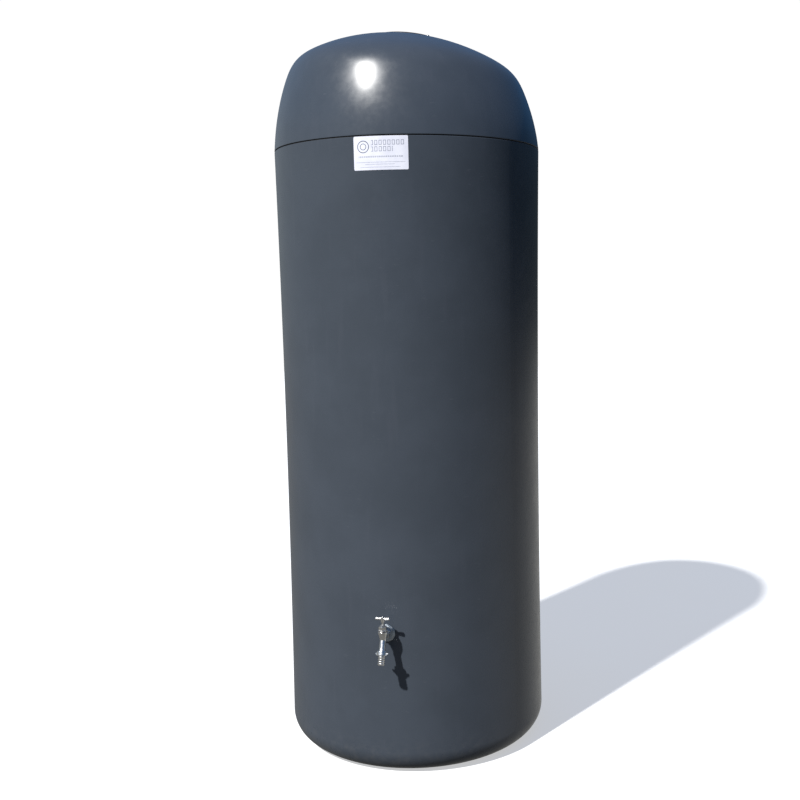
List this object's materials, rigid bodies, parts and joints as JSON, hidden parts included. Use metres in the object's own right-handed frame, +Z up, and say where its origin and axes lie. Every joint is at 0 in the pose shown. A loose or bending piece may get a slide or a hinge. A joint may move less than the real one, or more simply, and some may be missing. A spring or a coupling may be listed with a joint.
{
  "type": "rain barrel",
  "caption": "Slim round rain barrel with a lift-off domed lid, leaf strainer, screw-down garden tap with hose tail, and screened overflow.",
  "frame": {"origin": "centre of the flat base, on the ground", "axes": "+Z up; the tap faces -Y, the overflow faces +Y, and the lid's crown slopes down towards +X"},
  "size_m": [0.8062, 0.9309, 2.1731],
  "materials": {
    "shell": "satin moulded polyethylene, slate grey, lightly scuffed",
    "label": "glossy coated label, pale, with plain bars",
    "rubber": "matt black rubber",
    "black_plastic": "matt black moulded plastic",
    "grey_plastic": "satin grey moulded plastic",
    "stainless": "plain stainless steel",
    "steel_mesh": "woven stainless mesh",
    "nickel": "polished nickel plate over brass",
    "satin_nickel": "satin nickel plate over brass",
    "fibre": "dark pressed fibre"
  },
  "bodies": {
    "barrel": {"barrel_shell": "shell", "barrel_label": "label", "lid_seal": "rubber", "outlet_fitting": "satin_nickel", "outlet_outer_washer": "rubber", "outlet_inner_washer": "rubber", "outlet_backnut": "satin_nickel", "tap_body": "nickel", "bonnet_washer": "fibre", "tap_bonnet": "nickel", "gland_packing": "rubber", "gland_nut": "nickel", "overflow_body": "grey_plastic", "overflow_outer_washer": "rubber", "overflow_inner_washer": "rubber", "overflow_backnut": "grey_plastic"},
    "lid": {"dome_lid": "shell", "inlet_ring": "black_plastic", "inlet_screw_1": "stainless", "inlet_screw_2": "stainless", "inlet_screw_3": "stainless", "inlet_screw_4": "stainless"},
    "strainer": {"strainer_basket": "black_plastic", "strainer_mesh": "steel_mesh"},
    "valve": {"valve_disc": "nickel", "seat_washer": "rubber"},
    "spindle": {"spindle": "nickel", "tee_handle": "nickel", "handle_screw": "stainless"},
    "hose_tail": {"hose_tail": "nickel", "tail_washer": "rubber"},
    "union_nut": {"union_nut": "nickel"},
    "overflow_screen": {"overflow_screen": "steel_mesh", "overflow_screen_ring": "grey_plastic"}
  },
  "joints": [
    {"name": "lid_lift", "type": "slide", "parent": "barrel", "child": "lid", "axis": [0, 0, 1], "range_m": [0, 0.45]},
    {"name": "strainer_lift", "type": "slide", "parent": "lid", "child": "strainer", "axis": [0.0766, 0.0721, 0.9945], "range_m": [0, 0.2]},
    {"name": "valve_rise", "type": "slide", "parent": "barrel", "child": "valve", "axis": [0, 0, 1], "range_m": [0, 0.00375]},
    {"name": "spindle_turn", "type": "hinge", "parent": "valve", "child": "spindle", "pos_m": [0, -0.44561, 0.432], "axis": [0, 0, 1], "range_deg": [0, 540]},
    {"name": "tail_drop", "type": "slide", "parent": "barrel", "child": "hose_tail", "axis": [0, -0.4067, -0.9135], "range_m": [0, 0.00544]},
    {"name": "union_turn", "type": "hinge", "parent": "hose_tail", "child": "union_nut", "pos_m": [0, -0.46188, 0.39346], "axis": [0, -0.4067, -0.9135], "range_deg": [0, 1080]},
    {"name": "screen_pull", "type": "slide", "parent": "barrel", "child": "overflow_screen", "axis": [0, 1, 0], "range_m": [0, 0.04]}
  ],
  "couplings": [
    {"joint": "spindle_turn", "follows": "valve_rise", "rad_per_m": 2513.3},
    {"joint": "union_turn", "follows": "tail_drop", "rad_per_m": 3463.7}
  ]
}
